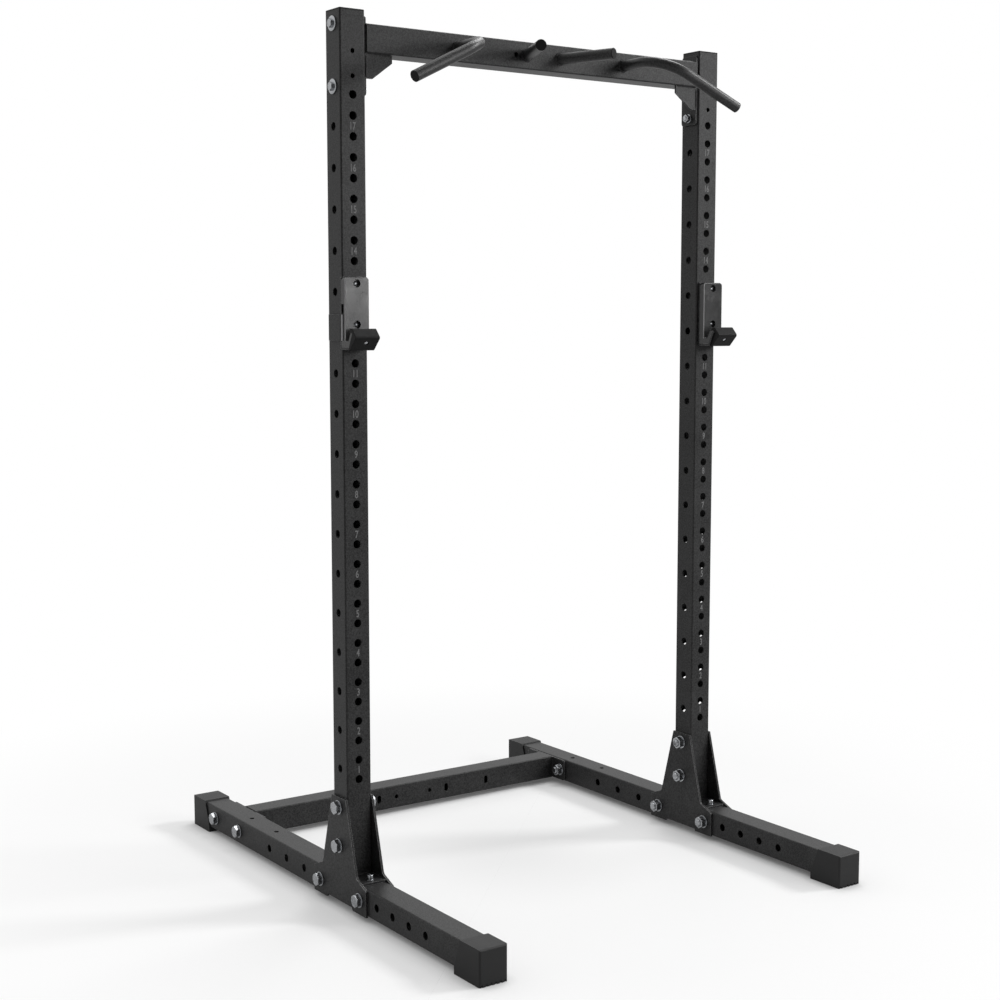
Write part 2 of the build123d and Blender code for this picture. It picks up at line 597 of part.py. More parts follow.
cap_low = Vector(0, FRONT_Y - LIP_CAP_LOW, hook_low - LIP_CAP_UNDER)
bracket_outline = (
    (back_y, hook_top),
    (face_y, hook_top),
    (face_y, floor_z),
    (lip_root.Y, lip_root.Z),
    (lip_top.Y, lip_top.Z),
    (lip_tip.Y, lip_tip.Z),
    (heel_y, hook_low),
    (back_y, hook_low),
)
liner_outline = (
    (face_y, hook_top),
    (liner_y, hook_top),
    (liner_y, hook_low + LINER_FLOOR_UP),
    (FRONT_Y - LINER_FLOOR, hook_low + LINER_FLOOR_UP),
    (FRONT_Y - LINER_LIP, lip_top.Z),
    (lip_top.Y, lip_top.Z),
    (lip_root.Y, lip_root.Z),
    (face_y, floor_z),
)
lip_cap_outline = (
    (FRONT_Y - LIP_CAP_BACK, lip_top.Z + LIP_CAP_OVER),
    (FRONT_Y - LIP_CAP_FRONT, lip_top.Z + LIP_CAP_OVER),
    (knee.Y, knee.Z),
    (cap_low.Y, cap_low.Z),
    (heel_y, hook_low),
    (lip_tip.Y, lip_tip.Z),
    (lip_top.Y, lip_top.Z),
    (FRONT_Y - LINER_LIP, lip_top.Z),
)
wing_y = FRONT_Y + WING_REACH
wing_outline = (
    (hook_out - HOOK_BEND_R, face_y),
    (hook_out, face_y),
    (hook_out, wing_y),
    (hook_out - HOOK_T, wing_y),
    (hook_out - HOOK_T, back_y),
    (hook_out - HOOK_BEND_R, back_y),
)
facet = cap_low - knee
screw_at = (cap_low + knee) / 2 - facet.normalized() * LIP_SCREW_UP
screw_zs = [hook_top - drop for drop in SCREW_DROP]
for side, s in SIDES:
    plate_x = s * UPRIGHT_X + min(-s * HOOK_IN, s * hook_out)
    plate_w = hook_out + HOOK_IN
    mid_x = s * (UPRIGHT_X + (hook_out - HOOK_IN) / 2)
    cap_x = s * UPRIGHT_X + min(-s * LIP_CAP_IN, s * cap_out)
    cap_w = cap_out + LIP_CAP_IN
    lip_hole = Plane(
        origin=(s * (UPRIGHT_X + (cap_out - HOOK_IN) / 2), screw_at.Y, screw_at.Z),
        x_dir=(1, 0, 0),
        z_dir=Vector(0, facet.Z, -facet.Y).normalized(),
    )
    with BuildPart() as bracket:
        with BuildSketch(Plane.YZ.offset(plate_x)) as bent:
            Polygon(*bracket_outline, align=None)
            fillet(bent.vertices().sort_by_distance((back_y, hook_low))[0], HOOK_BEND_R)
            fillet(bent.vertices().sort_by_distance((face_y, floor_z))[0], HOOK_BEND_R - HOOK_T)
        extrude(amount=plate_w)
        notch_h = WING_LOW - WING_HIGH + 2 * WING_RELIEF
        with Locations((s * (UPRIGHT_X + hook_out), face_y, peg_z - (WING_LOW + WING_HIGH) / 2)):
            Box(2 * HOOK_BEND_R, 2 * HOOK_BEND_R, notch_h, mode=Mode.SUBTRACT)
        with BuildSketch(Plane.XY.offset(peg_z - WING_LOW)) as wing:
            Polygon(*[(s * (UPRIGHT_X + x), y) for x, y in wing_outline], align=None)
            outer, inner = (hook_out, face_y), (hook_out - HOOK_T, back_y)
            for (x, y), bend in ((outer, HOOK_BEND_R), (inner, HOOK_BEND_R - HOOK_T)):
                fillet(wing.vertices().sort_by_distance((s * (UPRIGHT_X + x), y))[0], bend)
        extrude(amount=WING_LOW - WING_HIGH)
        with Locations(*[(mid_x, back_y, z) for z in screw_zs]):
            Cylinder(SCREW_D / 2 + SCREW_FIT, 4 * HOOK_T, rotation=ALONG, mode=Mode.SUBTRACT)
        with Locations(lip_hole):
            Cylinder(LIP_SCREW_D / 2 + SCREW_FIT, THROUGH, mode=Mode.SUBTRACT)
    bracket.part.label = f"{side}_hook_bracket"
    export_step(bracket.part, f"parts/{side}_hook_bracket.step")

    with BuildPart() as peg:
        with BuildSketch(Plane.XZ.offset(-back_y)):
            with Locations((s * UPRIGHT_X, peg_z)):
                Circle(HOOK_PEG_D / 2)
        extrude(amount=-HOOK_PEG_L)
        chamfer(peg.edges().sort_by(Axis.Y)[-1], HOOK_PEG_EDGE)
    peg.part.label = f"{side}_hook_peg"
    export_step(peg.part, f"parts/{side}_hook_peg.step")

    with BuildPart() as liner:
        with BuildSketch(Plane.YZ.offset(plate_x)) as lined:
            Polygon(*liner_outline, align=None)
            fillet(lined.vertices().sort_by_distance((face_y, floor_z))[0], HOOK_BEND_R / 2)
            pocket = (liner_y, hook_low + LINER_FLOOR_UP)
            fillet(lined.vertices().sort_by_distance(pocket)[0], LINER_POCKET_R)
        extrude(amount=plate_w)
        corners = liner.edges().filter_by(Axis.Y).filter_by_position(Axis.Z, hook_top - 1, hook_top + 1)
        fillet(corners, LINER_R)
        front = liner.faces().filter_by(Axis.Y).sort_by_distance((mid_x, liner_y, peg_z))[0]
        fillet(front.edges().filter_by(Axis.Z), LINER_EDGE)
        rebate_h = WING_LOW - WING_HIGH + LINER_REBATE_UP
        with Locations((s * (UPRIGHT_X + hook_out), face_y, peg_z - WING_LOW + rebate_h / 2)):
            Box(2 * HOOK_BEND_R, 2 * LINER_REBATE, rebate_h, mode=Mode.SUBTRACT)
        with Locations(*[(mid_x, liner_y, z) for z in screw_zs]):
            Cylinder(SCREW_SINK_D / 2, 2 * SCREW_SINK, rotation=ALONG, mode=Mode.SUBTRACT)
            Cylinder(SCREW_D / 2 + SCREW_FIT, THROUGH, rotation=ALONG, mode=Mode.SUBTRACT)
    liner.part.label = f"{side}_hook_liner"
    export_step(liner.part, f"parts/{side}_hook_liner.step")

    with BuildPart() as lip_cap:
        with BuildSketch(Plane.YZ.offset(cap_x)):
            Polygon(*lip_cap_outline, align=None)
        extrude(amount=cap_w)
        rounded = (FRONT_Y - LIP_CAP_FRONT, knee.Y, cap_low.Y)
        outer = lip_cap.edges().filter_by(Axis.X)
        fillet(outer.filter_by(lambda k: min(abs(k.center().Y - y) for y in rounded) < 0.5), LIP_CAP_R)
        ends = lip_cap.faces().filter_by(Axis.X)
        shell = [k for k in ends.edges() if k.center().Y < lip_tip.Y - LIP_CAP_EDGE]
        chamfer(shell, LIP_CAP_EDGE)
        with Locations(lip_hole):
            Cylinder(LIP_SCREW_HEAD_D / 2 + LIP_SCREW_ROOM, 2 * LIP_SCREW_HEAD_H, mode=Mode.SUBTRACT)
            Cylinder(LIP_SCREW_D / 2 + SCREW_FIT, THROUGH, mode=Mode.SUBTRACT)
    lip_cap.part.label = f"{side}_hook_lip_cap"
    export_step(lip_cap.part, f"parts/{side}_hook_lip_cap.step")

    with BuildPart() as liner_screws:
        seat_y = liner_y + SCREW_SINK
        with BuildSketch(Plane.XZ.offset(-seat_y)):
            with Locations(*[(mid_x, z) for z in screw_zs]):
                Circle(SCREW_HEAD_D / 2)
        extrude(amount=SCREW_HEAD_H)
        with BuildSketch(Plane.XZ.offset(-back_y)):
            with Locations(*[(mid_x, z) for z in screw_zs]):
                Circle(SCREW_D / 2)
        extrude(amount=back_y - seat_y)
        with BuildSketch(Plane.XZ.offset(-seat_y + SCREW_HEAD_H)):
            with Locations(*[(mid_x, z) for z in screw_zs]):
                RegularPolygon(SOCKET_AF / 2, 6, major_radius=False)
        extrude(amount=-SOCKET_DEPTH, mode=Mode.SUBTRACT)
    liner_screws.part.label = f"{side}_hook_liner_screws"
    export_step(liner_screws.part, f"parts/{side}_hook_liner_screws.step")

    with BuildPart() as lip_screw:
        seat = lip_hole.offset(-LIP_SCREW_HEAD_H)
        with BuildSketch(seat):
            Circle(LIP_SCREW_HEAD_D / 2)
        extrude(amount=LIP_SCREW_HEAD_H)
        with BuildSketch(seat):
            Circle(LIP_SCREW_D / 2)
        extrude(amount=-LIP_SCREW_L)
    lip_screw.part.label = f"{side}_hook_lip_screw"
    export_step(lip_screw.part, f"parts/{side}_hook_lip_screw.step")
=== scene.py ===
# %% [markdown]
# # A two-upright squat rack
# The rack is square steel tube under a black powder coat, bolted together with bright zinc hex bolts,
# standing on moulded plastic end caps, with two bar hooks that roll on a peg. The solids come from the
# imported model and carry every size. This lesson adds what solids lack: finishes, chamfered bolts with
# threads, screws with sockets, weld beads, hole numbers and the studio.

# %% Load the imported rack
import json
import math

import bmesh
import bpy
import numpy as np
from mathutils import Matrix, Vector


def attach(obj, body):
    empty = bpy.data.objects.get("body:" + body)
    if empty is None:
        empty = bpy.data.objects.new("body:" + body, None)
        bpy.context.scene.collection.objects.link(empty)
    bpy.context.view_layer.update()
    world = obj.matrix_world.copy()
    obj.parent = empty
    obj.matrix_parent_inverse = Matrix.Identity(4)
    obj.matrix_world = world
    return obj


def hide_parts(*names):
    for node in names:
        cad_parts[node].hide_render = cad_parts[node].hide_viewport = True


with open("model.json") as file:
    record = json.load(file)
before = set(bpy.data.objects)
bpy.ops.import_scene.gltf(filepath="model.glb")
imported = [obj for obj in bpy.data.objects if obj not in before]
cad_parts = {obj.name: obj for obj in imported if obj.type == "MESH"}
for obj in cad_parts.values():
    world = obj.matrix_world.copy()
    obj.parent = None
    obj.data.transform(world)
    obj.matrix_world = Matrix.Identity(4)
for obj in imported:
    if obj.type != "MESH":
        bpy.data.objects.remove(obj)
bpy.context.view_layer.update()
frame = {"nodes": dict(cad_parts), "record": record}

MM = 0.001
SIDES = (("left", -1), ("right", 1))

# %% [markdown]
# ## Meshes from whole arrays
# Every new piece is a grid of points: rows run along one parameter and columns along the other. numpy
# works out all points at once, and the faces are the quads between neighbours. Rows that shrink to a
# point close a pole, so the points there are merged afterwards and the faces are turned outwards.

# %% Grid helpers
def quads(rows, cols, loop_rows=False, loop_cols=True):
    """Faces between the neighbours of a rows x cols grid, closed along the looped directions."""
    r = np.arange(rows if loop_rows else rows - 1)
    c = np.arange(cols if loop_cols else cols - 1)
    row, col = np.meshgrid(r, c, indexing="ij")
    below, beside = (row + 1) % rows, (col + 1) % cols
    corners = (row * cols + col, row * cols + beside, below * cols + beside, below * cols + col)
    return np.stack(corners, axis=-1).reshape(-1, 4)


def lay_mesh(name, grids, coat, body="frame", sharp=35.0):
    """One object at the origin from (points, faces) pairs. Edges turning over sharp degrees stay crisp."""
    counts = np.cumsum([0] + [p.reshape(-1, 3).shape[0] for p, _ in grids])
    points = np.concatenate([p.reshape(-1, 3) for p, _ in grids])
    faces = np.concatenate([f + n for (_, f), n in zip(grids, counts)])
    mesh = bpy.data.meshes.new(name)
    mesh.from_pydata(points.tolist(), [], faces.tolist())
    shell = bmesh.new()
    shell.from_mesh(mesh)
    bmesh.ops.remove_doubles(shell, verts=shell.verts, dist=1e-6)
    bmesh.ops.recalc_face_normals(shell, faces=shell.faces)
    shell.to_mesh(mesh)
    shell.free()
    mesh.shade_smooth()
    mesh.set_sharp_from_angle(angle=math.radians(sharp))
    piece = bpy.data.objects.new(name, mesh)
    bpy.context.scene.collection.objects.link(piece)
    mesh.materials.append(coat)
    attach(piece, body)
    return piece


def stand(points, centre, axis):
    """Turns local points so that local +z runs along the unit vector axis, and moves them to centre."""
    axis = np.asarray(axis, float)
    side = np.cross([0.0, 0.0, 1.0] if abs(axis[2]) < 0.9 else [0.0, 1.0, 0.0], axis)
    side /= np.linalg.norm(side)
    return points @ np.stack([side, np.cross(axis, side), axis]) + np.asarray(centre, float)

# %% [markdown]
# ## Finishes
# A powder coat is a fine orange peel: the colour hardly changes, but the gloss breaks up into grains
# below a millimetre. Zinc plate is a cool mirror with faint draw marks, and moulded plastic has a soft
# spark-eroded grain. One group makes the grain for all of them, so that each finish only sets its own
# scale and strength. A second group finds the edges and the upright bends of plates and paints them
# lighter: on edges as noise-broken wear and painted highlight, on bends as painted highlight.

# %% Node groups for grain and for edges with wear and painted highlights
def group_socket(tree, name, way, value=None):
    socket = tree.interface.new_socket(name=name, in_out=way, socket_type="NodeSocketFloat")
    if value is not None:
        socket.default_value = value


def add_node(tree, kind, links=None, **settings):
    """A node with its settings and inputs: a tuple (node, output) is linked, anything else is a value."""
    node = tree.nodes.new(kind)
    for key, value in settings.items():
        setattr(node, key, value)
    for key, value in (links or {}).items():
        if isinstance(value, tuple) and isinstance(value[0], bpy.types.Node):
            tree.links.new(value[0].outputs[value[1]], node.inputs[key])
        else:
            node.inputs[key].default_value = value
    return node


grain_group = bpy.data.node_groups.new("surface_grain", "ShaderNodeTree")
for socket_name, start in (("Fine Scale", 900.0), ("Patch Scale", 14.0), ("Patch Amount", 0.25)):
    group_socket(grain_group, socket_name, "INPUT", value=start)
for socket_name in ("Shade", "Gloss", "Height"):
    group_socket(grain_group, socket_name, "OUTPUT")
g_in = grain_group.nodes.new("NodeGroupInput")
g_out = grain_group.nodes.new("NodeGroupOutput")
place = add_node(grain_group, "ShaderNodeTexCoord")
fine = add_node(grain_group, "ShaderNodeTexNoise", {
    "Vector": (place, "Object"), "Scale": (g_in, "Fine Scale"), "Detail": 3.0, "Roughness": 0.75})
patch = add_node(grain_group, "ShaderNodeTexNoise", {
    "Vector": (place, "Object"), "Scale": (g_in, "Patch Scale"), "Detail": 4.0, "Roughness": 0.55})
centred = add_node(grain_group, "ShaderNodeMath", {0: (patch, "Fac"), 1: 0.5}, operation="SUBTRACT")
patchy = add_node(grain_group, "ShaderNodeMath", {
    0: (centred, 0), 1: (g_in, "Patch Amount")}, operation="MULTIPLY")
speck = add_node(grain_group, "ShaderNodeMath", {0: (fine, "Fac"), 1: 0.5}, operation="SUBTRACT")
shade = add_node(grain_group, "ShaderNodeMath", {0: (speck, 0), 1: (patchy, 0)}, operation="ADD")
grain_group.links.new(shade.outputs[0], g_out.inputs["Shade"])
grain_group.links.new(patchy.outputs[0], g_out.inputs["Gloss"])
grain_group.links.new(fine.outputs["Fac"], g_out.inputs["Height"])

# The edge group paints a lighter colour on edges, as wear broken by noise and as a painted highlight.
edge_group = bpy.data.node_groups.new("edge_wear_and_highlight", "ShaderNodeTree")
for socket_name, start in (("Width", 0.0015), ("Amount", 0.5), ("Corner", 0.0), ("Corner Start", 0.1)):
    group_socket(edge_group, socket_name, "INPUT", value=start)
group_socket(edge_group, "Mask", "OUTPUT")
e_in = edge_group.nodes.new("NodeGroupInput")
e_out = edge_group.nodes.new("NodeGroupOutput")
rounded = add_node(edge_group, "ShaderNodeBevel", {"Radius": (e_in, "Width")}, samples=4)
facing = add_node(edge_group, "ShaderNodeNewGeometry")
agree = add_node(edge_group, "ShaderNodeVectorMath", {
    0: (rounded, "Normal"), 1: (facing, "Normal")}, operation="DOT_PRODUCT")
turned = add_node(edge_group, "ShaderNodeMapRange", {
    "Value": (agree, "Value"), "From Min": 0.99, "From Max": 0.80, "To Min": 0.0, "To Max": 1.0})
e_place = add_node(edge_group, "ShaderNodeTexCoord")
spots = add_node(edge_group, "ShaderNodeTexNoise", {
    "Vector": (e_place, "Object"), "Scale": 55.0, "Detail": 3.0})
broken = add_node(edge_group, "ShaderNodeMath", {0: (turned, 0), 1: (spots, "Fac")}, operation="MULTIPLY")
wear_and_glint = add_node(edge_group, "ShaderNodeMath", {0: (broken, 0), 1: (e_in, "Amount")}, operation="MULTIPLY")
# Where the object-space normal leans between x and y, on rounded upright bends, a painted highlight is
# masked.
slope = add_node(edge_group, "ShaderNodeSeparateXYZ", {"Vector": (e_place, "Normal")})
across = add_node(edge_group, "ShaderNodeMath", {0: (slope, "X"), 1: (slope, "Y")}, operation="MULTIPLY")
bent = add_node(edge_group, "ShaderNodeMath", {0: (across, 0)}, operation="ABSOLUTE")
bend_highlight = add_node(edge_group, "ShaderNodeMapRange", {
    "Value": (bent, 0), "From Min": (e_in, "Corner Start"), "From Max": 0.46})
corner = add_node(edge_group, "ShaderNodeMath", {0: (bend_highlight, 0), 1: (e_in, "Corner")}, operation="MULTIPLY")
mask = add_node(edge_group, "ShaderNodeMath", {0: (wear_and_glint, 0), 1: (corner, 0)}, operation="MAXIMUM")
edge_group.links.new(mask.outputs[0], e_out.inputs["Mask"])
print("groups:", [g.name for g in bpy.data.node_groups])

# %% One maker for all finishes
GRAIN_DEPTH = 0.0004


def finish(name, colour, grain_colour, edge_colour, rough, rough_spread, bump, fine, patch_scale,
           patch_amount, speckle=1.0, edge_width=0.0012, edge_amount=0.5, corner=0.0, bend_highlight_start=0.1,
           metallic=0.0, specular=0.5):
    """Colour drifts from colour to grain_colour with the grain, and to edge_colour: painted edge highlight
    and wear.
    """
    material = bpy.data.materials.new(name)
    material.use_nodes = True
    tree = material.node_tree
    shader = tree.nodes["Principled BSDF"]
    grain = add_node(tree, "ShaderNodeGroup", node_tree=grain_group)
    grain.inputs["Fine Scale"].default_value = fine
    grain.inputs["Patch Scale"].default_value = patch_scale
    grain.inputs["Patch Amount"].default_value = patch_amount
    edge = add_node(tree, "ShaderNodeGroup", node_tree=edge_group)
    edge.inputs["Width"].default_value = edge_width
    edge.inputs["Amount"].default_value = edge_amount
    edge.inputs["Corner"].default_value = corner
    edge.inputs["Corner Start"].default_value = bend_highlight_start
    lift = add_node(tree, "ShaderNodeMath", {0: (grain, "Shade"), 1: speckle, 2: 0.5},
                    operation="MULTIPLY_ADD", use_clamp=True)
    tone = add_node(tree, "ShaderNodeMix", data_type="RGBA")
    tone.inputs["A"].default_value = (*colour, 1.0)
    tone.inputs["B"].default_value = (*grain_colour, 1.0)
    tree.links.new(lift.outputs[0], tone.inputs["Factor"])
    wear_and_glint = add_node(tree, "ShaderNodeMix", data_type="RGBA")
    wear_and_glint.inputs["B"].default_value = (*edge_colour, 1.0)
    tree.links.new(tone.outputs["Result"], wear_and_glint.inputs["A"])
    tree.links.new(edge.outputs["Mask"], wear_and_glint.inputs["Factor"])
    tree.links.new(wear_and_glint.outputs["Result"], shader.inputs["Base Color"])
    gloss = add_node(tree, "ShaderNodeMath", {0: (grain, "Gloss"), 1: rough_spread, 2: rough},
                     operation="MULTIPLY_ADD", use_clamp=True)
    tree.links.new(gloss.outputs[0], shader.inputs["Roughness"])
    relief = add_node(tree, "ShaderNodeBump", {
        "Strength": bump, "Distance": GRAIN_DEPTH, "Height": (grain, "Height")})
    tree.links.new(relief.outputs["Normal"], shader.inputs["Normal"])
    shader.inputs["Metallic"].default_value = metallic
    shader.inputs["Specular IOR Level"].default_value = specular
    return material


# Each finish's edge_colour goes on through the edge group: where lighter than the finish, a painted
# highlight with some wear.
POWDER = dict(colour=(0.002, 0.002, 0.0021), grain_colour=(0.046, 0.046, 0.0465), rough_spread=0.5,
              bump=0.55, fine=280.0, patch_scale=9.0, patch_amount=0.3, speckle=3.2)
powder_coat = finish("powder_coat", edge_colour=(0.06, 0.06, 0.062), edge_amount=0.4,
                     rough=0.45, specular=0.27, **POWDER)
grip_coat = finish("grip_coat", edge_colour=(0.06, 0.06, 0.062), edge_amount=0.4,
                   rough=0.42, specular=0.36, **POWDER)
# The light edge colour paints highlight lines along the plates' cut edges and rounded upright corners,
# broken by noise like wear.
plate_coat = finish("plate_coat", edge_colour=(0.36, 0.36, 0.365), edge_amount=1.6, edge_width=0.0014,
                    corner=1.0, rough=0.45, specular=0.27, **POWDER)
# The near-white edge colour paints a highlight on the bracket's edges and on its wing bend.
hook_coat = finish("hook_coat", edge_colour=(0.90, 0.90, 0.91), edge_amount=0.7, edge_width=0.0014,
                   corner=1.0, bend_highlight_start=0.38, rough=0.45, specular=0.27, **POWDER)
# The pale edge colour paints glints along the edges of the bolts, nuts, washers and screws.
zinc_plate = finish("zinc_plate", (0.27, 0.28, 0.295), (0.50, 0.51, 0.525), (0.85, 0.86, 0.87),
                    0.26, 0.6, 0.10, 700.0, 120.0, 0.5, edge_width=0.0006, edge_amount=0.6, metallic=1.0)
# The lighter edge colour paints a highlight along the caps' edges.
cap_plastic = finish("cap_plastic", (0.010, 0.010, 0.0102), (0.026, 0.026, 0.0265), (0.085, 0.085, 0.087),
                     0.50, 0.4, 0.45, 1400.0, 22.0, 0.3, edge_amount=0.6, specular=0.27)
# The lighter edge colour paints a highlight ring on the edges of the plugs and upright caps.
plug_plastic = finish("plug_plastic", (0.003, 0.003, 0.0031), (0.008, 0.008, 0.0082), (0.05, 0.05, 0.051),
                      0.50, 0.4, 0.30, 1400.0, 22.0, 0.3, edge_amount=0.8, specular=0.15)
# The pale edge colour with the bend mask paints a highlight line down the liner's rounded front edges.
liner_plastic = finish("liner_plastic", (0.018, 0.018, 0.0184), (0.034, 0.034, 0.0345),
                       (0.70, 0.70, 0.705), 0.24, 0.5, 0.12, 900.0, 30.0, 0.6, edge_amount=0.25,
                       corner=1.0)
lip_plastic = finish("lip_plastic", (0.016, 0.016, 0.0161), (0.029, 0.029, 0.0292), (0.06, 0.06, 0.061),
                     0.45, 0.4, 0.20, 1300.0, 30.0, 0.3, edge_amount=0.4, specular=0.05)
number_ink = finish("number_ink", (0.13, 0.13, 0.131), (0.29, 0.29, 0.292), (0.29, 0.29, 0.292),
                    0.55, 0.3, 0.10, 420.0, 90.0, 0.6, edge_amount=0.0, specular=0.27)
FINISHES = {"coated_steel": powder_coat, "zinc": zinc_plate, "cap_plastic": cap_plastic,
            "liner_plastic": liner_plastic, "lip_plastic": lip_plastic}
SPECIAL = {("gusset", "flange", "web_plate", "base_plate"): plate_coat, ("hook_bracket",): hook_coat,
           ("wide_grip", "narrow_grip"): grip_coat, ("upright_cap", "grip_plug"): plug_plastic}
for part in frame["record"]["subparts"]:
    solid = frame["nodes"][part["node"]]
    own = [material for endings, material in SPECIAL.items() if part["node"].endswith(endings)]
    solid.data.materials.clear()
    solid.data.materials.append(own[0] if own else FINISHES[part["material_slot"]])
print("finishes:", sorted(FINISHES))

# %% [markdown]
# ## Hex bolts, nuts and washers
# A forged hex head is a prism whose top is turned to a 30 degree cone, so each corner ends in a curved
# cut. In polar form the hexagon's edge is apothem / cos(angle to the nearest flat), and the cone takes
# height off wherever that radius passes the top circle. The same grid carries on down the shank and
# ends in a few turns of thread, where the radius is a saw wave of height minus angle.

# %% Fastener shapes
AROUND = 48
ANGLES = np.arange(AROUND) * 2 * np.pi / AROUND
CROWN_SHARE = 0.94  # top circle of a hexagon over its width across flats
CONE_SLOPE = math.tan(math.radians(30))
POINT_L, POINT_CUT, DISH = 1.2, 1.9, 0.5  # chamfer at the shank's end, and the hollow in the head


def hex_radius(apothem):
    """Distance from the axis to a hexagon's edge at each angle, with a flat at angle zero."""
    off_flat = (ANGLES + np.pi / 6) % (np.pi / 3) - np.pi / 6
    return apothem / np.cos(off_flat)


def lathe(radii, heights):
    """Rows of rings: radius and height per row, each a number or one value per angle."""
    ones = np.ones(AROUND)
    r = np.stack([ones * row for row in radii])
    h = np.stack([ones * row for row in heights])
    return np.stack([r * np.cos(ANGLES), r * np.sin(ANGLES), h], axis=-1)


def hex_bolt(across, head, shank_d, shank_l, pitch=2.5, thread_l=9.0):
    """Head above height 0, shank below it, thread on the last thread_l."""
    corner = hex_radius(across / 2)
    crown = CROWN_SHARE * across / 2
    shoulder = head - np.maximum(corner - crown, 0.0) * CONE_SLOPE
    rise = -shank_l + POINT_L + np.arange(0.0, thread_l - POINT_L, pitch / 8)
    radius = shank_d / 2
    phase = [(h / pitch - ANGLES / (2 * np.pi)) % 1.0 for h in rise]
    thread = [radius - 0.62 * pitch * np.abs(turn - 0.5) for turn in phase]
    radii = [0.0, radius - POINT_CUT, *thread, radius, radius, corner, corner, crown, crown * 0.86,
             crown * 0.82, 0.0]
    heights = [-shank_l, -shank_l, *rise, -shank_l + thread_l, 0.0, 0.0, shoulder, head, head,
               head - DISH, head - DISH]
    return lathe(radii, heights), quads(len(radii), AROUND)


def hex_nut(across, height, bore_d):
    """A hexagon cut to a cone at both ends, around a bore with broken edges."""
    corner = hex_radius(across / 2)
    crown = CROWN_SHARE * across / 2
    cut = np.maximum(corner - crown, 0.0) * CONE_SLOPE
    bore, broken = bore_d / 2, 1.0
    radii = [bore, bore + broken, crown, corner, corner, crown, bore + broken, bore]
    heights = [broken, 0.0, 0.0, cut, height - cut, height, height, height - broken]
    return lathe(radii, heights), quads(len(radii), AROUND, loop_rows=True)


def washer(outer_d, bore_d, thick):
    """A flat ring with a rolled outer edge."""
    outer, bore, roll, broken = outer_d / 2, bore_d / 2, 0.3 * thick, 0.2
    curl = 0.3 * roll
    radii = [bore, bore + broken, outer - roll, outer - curl, outer, outer, outer - curl, outer - roll,
             bore + broken, bore]
    heights = [broken, 0.0, 0.0, curl, roll, thick - roll, thick - curl, thick, thick, thick - broken]
    return lathe(radii, heights), quads(len(radii), AROUND, loop_rows=True)


# %% Where the fasteners sit
UPRIGHT_X, UPRIGHT_Y, HALF_TUBE = 575.0, -124.5, 35.0
FOOT_Z, CROSS_Y, FLANGE_T, GUSSET_T = 50.0, 540.0, 6.0, 6.0
BEAM_Z, FRONT_Y = 2178.0, UPRIGHT_Y - HALF_TUBE
OUTER_X, INNER_X = UPRIGHT_X + HALF_TUBE, UPRIGHT_X - HALF_TUBE
OUTER_WASHER_D, OUTER_WASHER_T, BEAM_BOLT_UP, BEAM_BOLT_DOWN = 37.0, 3.0, 31.5, 118.0
GUSSET_HIGH_Z, GUSSET_LOW_Z, GUSSET_REACH, CROSS_REACH = 265.0, 165.0, 100.0, 75.0
BASE_TOP_Z, BASE_T, BASE_REACH, TUBE_WALL = 91.0, 6.0, 84.0, 3.0
LARGE = dict(flats=30.0, head=12.5, shank=20.0, hole=21.0, seat_d=37.0, seat_t=3.0, nut=16.0, past=5.0,
             pitch=2.5)
SMALL = dict(flats=19.0, head=7.5, shank=12.0, hole=13.0, seat_d=24.0, seat_t=2.5, nut=10.8, past=2.0,
             pitch=1.75)
CAP_SCREW = dict(head_d=18.0, head=12.0, socket_across=10.0, socket=6.0, shank_d=12.0)
NUT_PLAY = 0.2
gusset_spots = [(UPRIGHT_Y, GUSSET_HIGH_Z), (UPRIGHT_Y, GUSSET_LOW_Z), (UPRIGHT_Y - GUSSET_REACH, FOOT_Z),
                (UPRIGHT_Y + GUSSET_REACH, FOOT_Z)]
cross_spots = [(CROSS_Y - CROSS_REACH, FOOT_Z), (CROSS_Y + CROSS_REACH, FOOT_Z)]
BOLTED = (
    ("gusset", gusset_spots, OUTER_X + GUSSET_T, INNER_X - GUSSET_T, LARGE),
    ("crossmember", cross_spots, OUTER_X, INNER_X - FLANGE_T, LARGE),
    ("beam", [(UPRIGHT_Y, BEAM_Z - BEAM_BOLT_DOWN)], OUTER_X, INNER_X - FLANGE_T, SMALL),
)


def set_down(shape, spots):
    """Copies of one (points, faces) shape at each (centre, axis), in metres."""
    points, faces = shape
    return [(stand(points.reshape(-1, 3), c, a) * MM, faces) for c, a in spots]


def fasten(name, copies, node):
    """One zinc piece on the frame that shows in place of a CAD node."""
    piece = lay_mesh(name, copies, zinc_plate)
    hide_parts(node)
    print(name, len(copies), "copies,", len(piece.data.polygons), "faces")


for joint, spots, out_x, in_x, size in BOLTED:
    sites = [(s, y, z) for s in (-1, 1) for y, z in spots]
    grip = out_x + OUTER_WASHER_T - in_x + size["seat_t"] + size["nut"] + size["past"]
    heads = [((s * (out_x + OUTER_WASHER_T), y, z), (s, 0, 0)) for s, y, z in sites]
    outer_seats = [((s * out_x, y, z), (s, 0, 0)) for s, y, z in sites]
    inner_seats = [((s * in_x, y, z), (-s, 0, 0)) for s, y, z in sites]
    nuts = [((s * (in_x - size["seat_t"]), y, z), (-s, 0, 0)) for s, y, z in sites]
    bolt = hex_bolt(size["flats"], size["head"], size["shank"], grip, size["pitch"])
    fasten(f"{joint}_hex_bolts", set_down(bolt, heads), f"{joint}_bolts")
    rings = set_down(washer(OUTER_WASHER_D, size["hole"], OUTER_WASHER_T), outer_seats)
    rings += set_down(washer(size["seat_d"], size["hole"], size["seat_t"]), inner_seats)
    fasten(f"{joint}_flat_washers", rings, f"{joint}_washers")
    nut = hex_nut(size["flats"], size["nut"], size["shank"] + NUT_PLAY)
    fasten(f"{joint}_hex_nuts", set_down(nut, nuts), f"{joint}_nuts")

